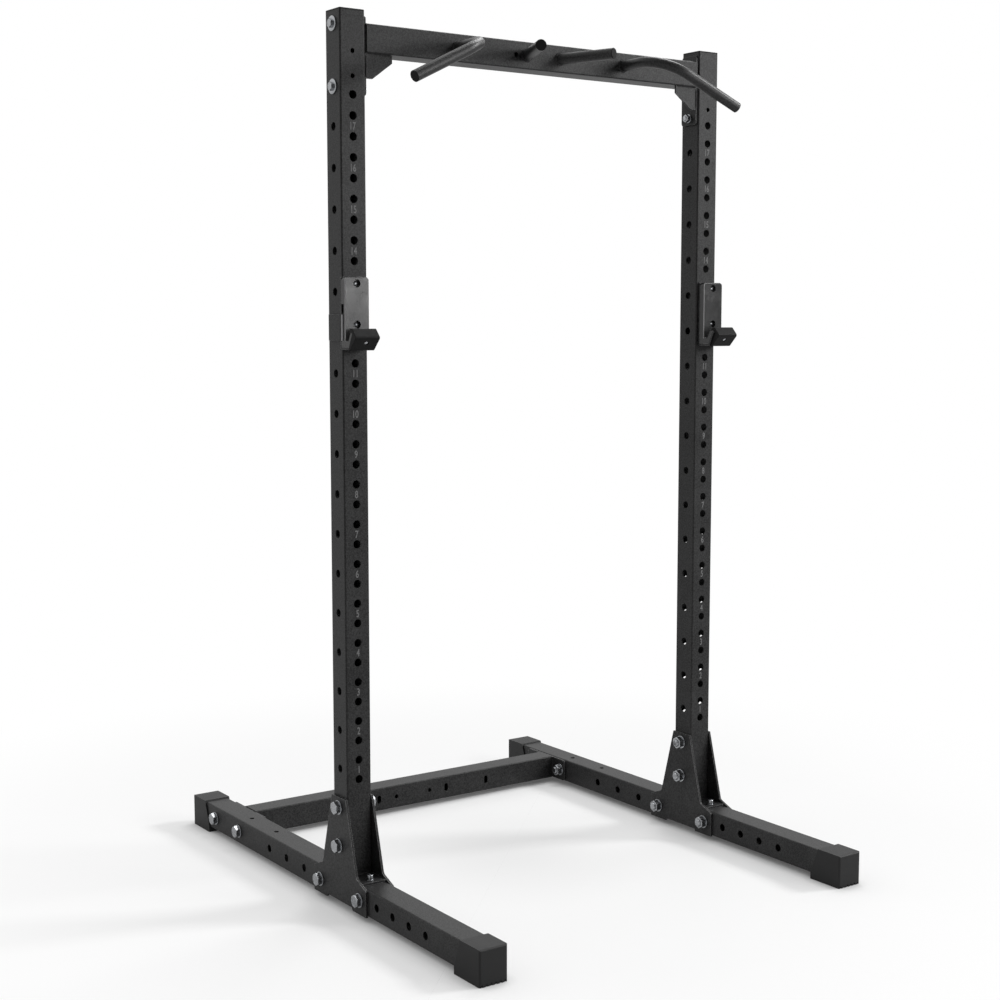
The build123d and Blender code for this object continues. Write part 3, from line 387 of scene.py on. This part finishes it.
# %% Bolts into the beam's flange and screws on the base plates
head_x, top_z = OUTER_X + OUTER_WASHER_T, BEAM_Z + BEAM_BOLT_UP
top_heads = [((s * head_x, UPRIGHT_Y, top_z), (s, 0, 0)) for s in (-1, 1)]
top_seats = [((s * OUTER_X, UPRIGHT_Y, top_z), (s, 0, 0)) for s in (-1, 1)]
top_grip = head_x - INNER_X + FLANGE_T
top_bolt = hex_bolt(SMALL["flats"], SMALL["head"], SMALL["shank"], top_grip, SMALL["pitch"])
top_ring = washer(OUTER_WASHER_D, SMALL["hole"], OUTER_WASHER_T)
fasten("beam_top_hex_bolts", set_down(top_bolt, top_heads), "beam_top_bolts")
fasten("beam_top_flat_washers", set_down(top_ring, top_seats), "beam_top_washers")
base_seats = [((s * UPRIGHT_X, UPRIGHT_Y + e * BASE_REACH, BASE_TOP_Z), (0, 0, 1))
              for s in (-1, 1) for e in (-1, 1)]
base_ring = washer(SMALL["seat_d"], SMALL["hole"], SMALL["seat_t"])
fasten("base_flat_washers", set_down(base_ring, base_seats), "base_washers")


def cap_screw(head_d, head, socket_across, socket, shank_d, shank_l, crown=2.4):
    """Round head above height 0 with a quarter round on top and a hexagon socket, shank below."""
    turn, mouth = np.linspace(0.0, np.pi / 2, 7), 0.3
    edge_r, edge_h = head_d / 2 - crown + crown * np.cos(turn), head - crown + crown * np.sin(turn)
    drive = hex_radius(socket_across / 2)
    radii = [0.0, shank_d / 2, shank_d / 2, head_d / 2, *edge_r, drive, drive, 0.0]
    heights = [-shank_l, -shank_l, 0.0, 0.0, *edge_h, head - mouth, head - socket, head - socket]
    return lathe(radii, heights), quads(len(radii), AROUND)


base_grip = SMALL["seat_t"] + BASE_T + TUBE_WALL + SMALL["nut"] + SMALL["past"]
base_tops = [((x, y, z + SMALL["seat_t"]), axis) for (x, y, z), axis in base_seats]
base_screw = cap_screw(shank_l=base_grip, **CAP_SCREW)
fasten("base_cap_screws", set_down(base_screw, base_tops), "base_bolts")

# %% [markdown]
# ## Hook screws
# The liner and the lip cap of each hook are held by button screws: a shallow dome around a socket. The
# dome is part of a sphere, so its height is the root of sphere radius squared minus distance squared.

# %% Button screws on both hooks
HOOK_MID, LIP_MID, LINER_SEAT_Y, LINER_SCREW_Z = 582.25, 584.75, -175.5, (1585.0, 1485.0)
KNEE, CAP_LOW = np.array([-244.2, 1453.5]), np.array([-213.0, 1421.5])  # (y, z) of the facet's ends
LIP_SCREW_UP, LIP_SINK = 3.0, 2.4
LINER_SCREW = dict(head_r=6.0, head_h=4.0, shank_r=4.0, shank_l=15.5, socket_r=1.2)
LIP_SCREW = dict(head_r=5.0, head_h=LIP_SINK, shank_r=3.0, shank_l=16.5, socket_r=1.2)
facet = (CAP_LOW - KNEE) / np.linalg.norm(CAP_LOW - KNEE)
lip_out = np.array([facet[1], -facet[0]])
lip_seat = (KNEE + CAP_LOW) / 2 - LIP_SCREW_UP * facet - LIP_SINK * lip_out


def button_screw(head_r, head_h, shank_r, shank_l, socket_r):
    """Dome above height 0 with a hexagon socket in it, plain shank below."""
    rim, mouth, deep = 0.15 * head_h, 0.1, 0.7
    dome = head_h - rim
    ball = (head_r**2 + dome**2) / (2 * dome)
    lip = np.linspace(head_r, 1.25 * socket_r, 9)
    arc = rim + np.sqrt(ball**2 - lip**2) - (ball - dome)
    socket = hex_radius(socket_r)
    radii = [0.0, shank_r, shank_r, head_r, *lip, socket, socket, 0.0]
    heights = [-shank_l, -shank_l, 0.0, 0.0, *arc, arc[-1] - mouth, arc[-1] - deep, arc[-1] - deep]
    return lathe(radii, heights), quads(len(radii), AROUND)


for side, s in SIDES:
    held = [((s * HOOK_MID, LINER_SEAT_Y, z), (0, -1, 0)) for z in LINER_SCREW_Z]
    copies = set_down(button_screw(**LINER_SCREW), held)
    copies += set_down(button_screw(**LIP_SCREW), [((s * LIP_MID, *lip_seat), (0, *lip_out))])
    piece = lay_mesh(f"{side}_button_screws", copies, zinc_plate, body=f"{side}_hook", sharp=25.0)
    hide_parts(f"{side}_hook_liner_screws", f"{side}_hook_lip_screw")
    print(side, "screws:", len(copies))

# %% [markdown]
# ## Weld beads
# The grips, flanges, web plates and base plates are welded on. A bead is a thin round rope of metal
# along the joint, with a ripple for each pulse of the torch. It is a circle carried along the joint's
# path, and its radius swells with the distance along it.

# %% Beads along the joints
def bead(path, radius, closed, ripple=0.14, pitch=3.2, sides=10):
    """A rippled tube along path (n, 3) in mm: radius * (1 + ripple * wave of arc length)."""
    ahead = np.roll(path, -1, 0) - np.roll(path, 1, 0) if closed else np.gradient(path, axis=0)
    run = ahead / np.linalg.norm(ahead, axis=1, keepdims=True)
    steps = np.linalg.norm(np.diff(path, axis=0), axis=1)
    length = np.concatenate([[0.0], np.cumsum(steps)])
    swell = radius * (1 + ripple * np.abs(np.sin(np.pi * length / pitch)))
    if not closed:
        swell *= np.sqrt(np.clip(np.minimum(length, length[-1] - length) / (1.5 * radius), 0.0, 1.0))
    helper = np.where(np.abs(run[:, 2:3]) > 0.8, [[1.0, 0.0, 0.0]], [[0.0, 0.0, 1.0]])
    u = np.cross(helper, run)
    u /= np.linalg.norm(u, axis=1, keepdims=True)
    v = np.cross(run, u)
    turn = np.arange(sides) * 2 * np.pi / sides
    ring = np.cos(turn)[None, :, None] * u[:, None] + np.sin(turn)[None, :, None] * v[:, None]
    points = path[:, None] + ring * swell[:, None, None]
    return points * MM, quads(len(path), sides, loop_rows=closed)


def straight(a, b, step=0.55):
    """Points about step apart on the line from a to b."""
    count = int(np.linalg.norm(np.subtract(b, a)) / step)
    return np.linspace(a, b, count)


def grip_joint(root, toward, radius):
    """Where a slanted tube meets the beam's front: its circle, slid along the tube to that plane."""
    run = np.asarray(toward, float)
    run /= np.linalg.norm(run)
    u = np.cross(run, [0.0, 0.0, 1.0])
    u /= np.linalg.norm(u)
    v = np.cross(u, run)
    turn = np.linspace(0, 2 * np.pi, 170, endpoint=False)
    circle = radius * (np.cos(turn)[:, None] * u + np.sin(turn)[:, None] * v)
    slide = -circle[:, 1:2] / run[1]
    return np.asarray(root) + circle + slide * run


GRIP_R, GRIP_BEAD, CROSS_BEAD, BEAM_BEAD, BASE_BEAD, WEB_BEAD = 14.25, 2.6, 2.6, 2.4, 2.8, 1.8
GRIPS = ((267.0, (8.0, -155.5, 3.0)), (54.0, (63.0, -147.5, 2.0)))  # root on the beam, direction
CROSS_SEAM, BEAM_SEAM, BASE_SEAM = 28.0, 27.0, 31.0  # half lengths
WEB_T, WEB_IN, WEB_START, WEB_ALONG, WEB_DOWN = 6.0, 30.0, 4.0, 70.0, 58.0
flange_face = INNER_X - FLANGE_T
beam_low = BEAM_Z - HALF_TUBE
web_front = UPRIGHT_Y - WEB_IN
seams = []
for _, s in SIDES:
    for root_x, (out_x, out_y, out_z) in GRIPS:
        ring = grip_joint((s * root_x, FRONT_Y, BEAM_Z), (s * out_x, out_y, out_z), GRIP_R)
        seams.append(bead(ring, GRIP_BEAD, True))
    for y in (CROSS_Y - HALF_TUBE, CROSS_Y + HALF_TUBE):
        ends = [(s * flange_face, y, FOOT_Z + e * CROSS_SEAM) for e in (-1, 1)]
        seams.append(bead(straight(*ends), CROSS_BEAD, False))
    for z in (BEAM_Z - HALF_TUBE, BEAM_Z + HALF_TUBE):
        ends = [(s * flange_face, UPRIGHT_Y + e * BEAM_SEAM, z) for e in (-1, 1)]
        seams.append(bead(straight(*ends), BEAM_BEAD, False))
    for y in (UPRIGHT_Y - HALF_TUBE, UPRIGHT_Y + HALF_TUBE):
        ends = [(s * UPRIGHT_X + e * BASE_SEAM, y, BASE_TOP_Z) for e in (-1, 1)]
        seams.append(bead(straight(*ends), BASE_BEAD, False))
    for y in (web_front, web_front + WEB_T):
        along = [(s * (flange_face - reach), y, beam_low) for reach in (WEB_ALONG, WEB_START)]
        down = [(s * flange_face, y, beam_low - reach) for reach in (WEB_DOWN, WEB_START)]
        seams.append(bead(straight(*along), WEB_BEAD, False))
        seams.append(bead(straight(*down), WEB_BEAD, False))
welds = lay_mesh("weld_beads", seams, powder_coat)
print("weld beads:", len(seams), "faces:", len(welds.data.polygons))

# %% [markdown]
# ## Hole numbers
# Every second gap of the front hole row carries its number, so that both hooks are set alike. Plain
# digits are made as text, turned into a mesh and moved onto the face of the tube, a hair proud of it.

# %% Number both uprights
NUMBER_COUNT, FIRST_NUMBER_Z, NUMBER_STEP = 17, 365.0, 100.0
NUMBER_SIZE, NUMBER_WIDTH, STROKE_EXTRA, INK_PROUD = 26.0, 0.72, 0.3, 0.06


def digit_points(text, size):
    """Points (n, 3) and faces of a text laid flat, centred on its own middle."""
    curve = bpy.data.curves.new("digits", "FONT")
    curve.body = text
    curve.size = size
    curve.offset = STROKE_EXTRA
    curve.resolution_u = 4
    writer = bpy.data.objects.new("digits", curve)
    bpy.context.scene.collection.objects.link(writer)
    bpy.context.view_layer.update()
    flat = bpy.data.meshes.new_from_object(writer.evaluated_get(bpy.context.evaluated_depsgraph_get()))
    points = np.empty(len(flat.vertices) * 3)
    flat.vertices.foreach_get("co", points)
    points = points.reshape(-1, 3)
    faces = [tuple(f.vertices) for f in flat.polygons]
    bpy.data.objects.remove(writer)
    bpy.data.curves.remove(curve)
    bpy.data.meshes.remove(flat)
    return points - (points.max(0) + points.min(0)) / 2, faces


for side, s in SIDES:
    points, faces = [], []
    for number in range(1, NUMBER_COUNT + 1):
        flat, shapes = digit_points(str(number), NUMBER_SIZE)
        z = FIRST_NUMBER_Z + NUMBER_STEP * (number - 1)
        across = NUMBER_WIDTH * flat[:, 0] + s * UPRIGHT_X
        placed = np.stack([across, np.full(len(flat), FRONT_Y - INK_PROUD), flat[:, 1] + z], axis=1)
        start = sum(len(p) for p in points)
        points.append(placed * MM)
        faces += [tuple(i + start for i in f) for f in shapes]
    mesh = bpy.data.meshes.new(f"{side}_hole_numbers")
    mesh.from_pydata(np.concatenate(points).tolist(), [], faces)
    numbers = bpy.data.objects.new(f"{side}_hole_numbers", mesh)
    bpy.context.scene.collection.objects.link(numbers)
    mesh.materials.append(number_ink)
    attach(numbers, "frame")
    print(side, "numbers:", len(faces), "faces")

# %% [markdown]
# ## The studio
# The rack stands on a pale floor. A soft key lamp on the right draws the shadows to the left, two weaker
# boxes in front light the hooks and the beam, and one overhead catches the tops of the bolts. The sky is
# dim in front and bright behind. The floor fades to white with the distance, for the camera and for
# reflections only, so the steel isn't flooded. Close under the rack the floor's glow is held back, so that
# a dark contact shadow is left there.

# %% Floor and sky
FLOOR_HALF = 400.0
LEFT_GLOW, RIGHT_GLOW, UNDER_RACK_SHADE_GAIN, FLOOR_SHEEN, FAR_SHEEN = 0.41, 0.28, 0.64, 0.15, 0.75
FLOOR_GREY, SHADE_REACH, UNDER_RACK_SHADE_REACH, FADE_START, FADE_END = 0.52, 0.032, 0.5, 0.9, 2.3
corners = [(x * FLOOR_HALF, y * FLOOR_HALF, 0.0) for x, y in ((-1, -1), (1, -1), (1, 1), (-1, 1))]
floor_mesh = bpy.data.meshes.new("studio_floor")
floor_mesh.from_pydata(corners, [], [(0, 1, 2, 3)])
floor = bpy.data.objects.new("studio_floor", floor_mesh)
bpy.context.scene.collection.objects.link(floor)
floor_paint = bpy.data.materials.new("floor_paint")
floor_paint.use_nodes = True
tree = floor_paint.node_tree
matt = tree.nodes["Principled BSDF"]
matt.inputs["Roughness"].default_value = 0.9
matt.inputs["Specular IOR Level"].default_value = 0.0
matt.inputs["Emission Color"].default_value = (1.0, 1.0, 1.0, 1.0)
place = add_node(tree, "ShaderNodeTexCoord")
reach = add_node(tree, "ShaderNodeVectorMath", {0: (place, "Object")}, operation="LENGTH")
away = add_node(tree, "ShaderNodeMapRange", {
    "Value": (reach, "Value"), "From Min": FADE_START, "From Max": FADE_END, "To Min": 0.0, "To Max": 1.0},
    interpolation_type="SMOOTHSTEP")
paint = add_node(tree, "ShaderNodeMix", {"Factor": (away, 0)}, data_type="RGBA")
paint.inputs["A"].default_value = (FLOOR_GREY, FLOOR_GREY, FLOOR_GREY, 1.0)
paint.inputs["B"].default_value = (0.0, 0.0, 0.0, 1.0)
tree.links.new(paint.outputs["Result"], matt.inputs["Base Color"])
spot = add_node(tree, "ShaderNodeSeparateXYZ", {"Vector": (place, "Object")})
tilt = add_node(tree, "ShaderNodeMapRange", {
    "Value": (spot, "X"), "From Min": -1.4, "From Max": 1.2, "To Min": LEFT_GLOW, "To Max": RIGHT_GLOW})
# Near the rack's middle the glow is lowered: a painted shade on the floor under the rack.
between = add_node(tree, "ShaderNodeMapRange", {
    "Value": (reach, "Value"), "From Min": 0.0, "From Max": UNDER_RACK_SHADE_REACH, "To Min": UNDER_RACK_SHADE_GAIN,
    "To Max": 1.0}, interpolation_type="SMOOTHSTEP")
contact = add_node(tree, "ShaderNodeAmbientOcclusion", {"Distance": SHADE_REACH})
open_glow = add_node(tree, "ShaderNodeMath", {0: (tilt, 0), 1: (between, 0)}, operation="MULTIPLY")
dimmed = add_node(tree, "ShaderNodeMath", {0: (open_glow, 0), 1: (contact, "AO")}, operation="MULTIPLY")
near = add_node(tree, "ShaderNodeMapRange", {"Value": (away, 0), "To Min": (dimmed, 0), "To Max": 1.0})
sheen = add_node(tree, "ShaderNodeMapRange", {
    "Value": (away, 0), "To Min": FLOOR_SHEEN, "To Max": FAR_SHEEN})
path = add_node(tree, "ShaderNodeLightPath")
seen = add_node(tree, "ShaderNodeMath", {0: (path, "Is Camera Ray"), 1: (near, 0)}, operation="MULTIPLY")
bounced = add_node(tree, "ShaderNodeMath", {0: (path, "Is Glossy Ray"), 1: (path, "Is Transmission Ray")},
                   operation="MAXIMUM")
glow = add_node(tree, "ShaderNodeMath", {
    0: (bounced, 0), 1: (sheen, 0), 2: (seen, 0)}, operation="MULTIPLY_ADD")
tree.links.new(glow.outputs[0], matt.inputs["Emission Strength"])
floor_mesh.materials.append(floor_paint)

sky = bpy.data.worlds.new("studio_sky")
sky.use_nodes = True
tree = sky.node_tree
background = tree.nodes["Background"]
background.inputs["Color"].default_value = (1.0, 1.0, 1.0, 1.0)
FRONT_SKY, BACK_SKY, HIGH_GAIN = 0.22, 0.85, 1.18
gaze = add_node(tree, "ShaderNodeTexCoord")
part = add_node(tree, "ShaderNodeSeparateXYZ", {"Vector": (gaze, "Generated")})
depth = add_node(tree, "ShaderNodeMapRange", {
    "Value": (part, "Y"), "From Min": -0.5, "From Max": 0.6, "To Min": FRONT_SKY, "To Max": BACK_SKY},
    interpolation_type="SMOOTHSTEP")
height = add_node(tree, "ShaderNodeMapRange", {
    "Value": (part, "Z"), "From Min": 0.05, "From Max": 0.45, "To Min": 1.0, "To Max": HIGH_GAIN},
    interpolation_type="SMOOTHSTEP")
shone = add_node(tree, "ShaderNodeMath", {0: (depth, 0), 1: (height, 0)}, operation="MULTIPLY")
path = add_node(tree, "ShaderNodeLightPath")
level = add_node(tree, "ShaderNodeMix", {"Factor": (path, "Is Camera Ray"), "A": (shone, 0), "B": 1.0})
tree.links.new(level.outputs["Result"], background.inputs["Strength"])
bpy.context.scene.world = sky

# %% Lamps and camera
def soft_lamp(name, place, aim, width, height, watts):
    """A rectangular lamp at place, turned so that it shines at aim."""
    lamp = bpy.data.lights.new(name, "AREA")
    lamp.shape = "RECTANGLE"
    lamp.size, lamp.size_y, lamp.energy = width, height, watts
    rig = bpy.data.objects.new(name, lamp)
    rig.location = place
    rig.rotation_euler = (Vector(aim) - Vector(place)).to_track_quat("-Z", "Y").to_euler()
    bpy.context.scene.collection.objects.link(rig)


soft_lamp("key_softbox", (14.1, -5.7, 10.6), (0.0, 0.0, 1.0), 3.6, 3.6, 1800.0)
soft_lamp("front_softbox", (1.4, -3.6, 1.85), (-0.58, -0.16, 1.55), 0.9, 0.8, 13.5)
soft_lamp("high_softbox", (3.4, -4.0, 2.75), (0.2, -0.1, 2.0), 2.6, 1.0, 70.0)
soft_lamp("top_softbox", (1.6, 0.8, 4.5), (-0.3, 0.2, 0.1), 1.5, 1.7, 54.0)

CAMERA_PLACE, CAMERA_DIP, CAMERA_TURN = (-2.64701, -3.740506, 1.498093), 0.108, math.radians(35.0)
camera = bpy.data.cameras.new("photo_camera")
camera.lens, camera.sensor_width = 60.0, 36.0
eye = bpy.data.objects.new("photo_camera", camera)
eye.location = CAMERA_PLACE
eye.rotation_euler = (math.radians(90.0) - CAMERA_DIP, 0.0, -CAMERA_TURN)
bpy.context.scene.collection.objects.link(eye)
bpy.context.scene.camera = eye
bpy.context.scene.view_settings.view_transform = "Standard"
